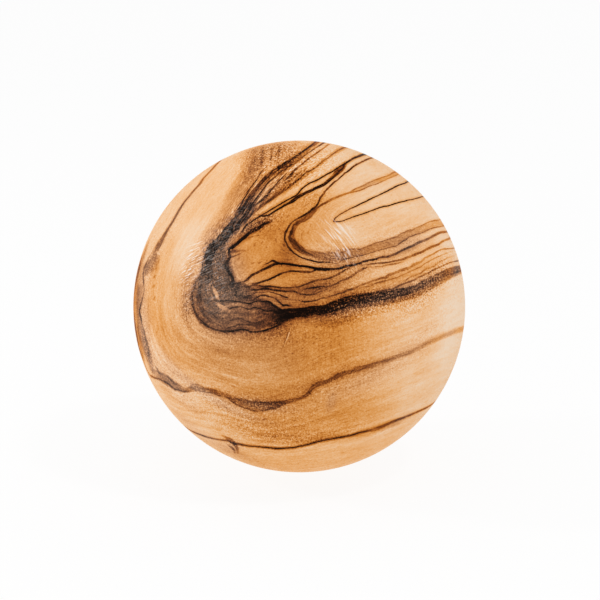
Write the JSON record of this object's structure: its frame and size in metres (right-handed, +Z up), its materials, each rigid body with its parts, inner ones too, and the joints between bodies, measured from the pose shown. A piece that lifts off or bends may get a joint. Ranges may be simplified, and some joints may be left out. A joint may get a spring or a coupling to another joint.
{
  "type": "wooden ball",
  "caption": "Solid turned ball of boldly figured hardwood, smooth all over with no hole or flat, used as a hand ball, paperweight, knob blank or display piece.",
  "frame": {"origin": "centre of the ball", "axes": "+Z up, along the axis that the ball was turned about; -Y towards the camera of the picture; +X to its right"},
  "size_m": [0.06, 0.06, 0.06],
  "materials": {
    "olive_wood": "satin"
  },
  "bodies": {
    "root": {"ball": "olive_wood"}
  },
  "joints": []
}
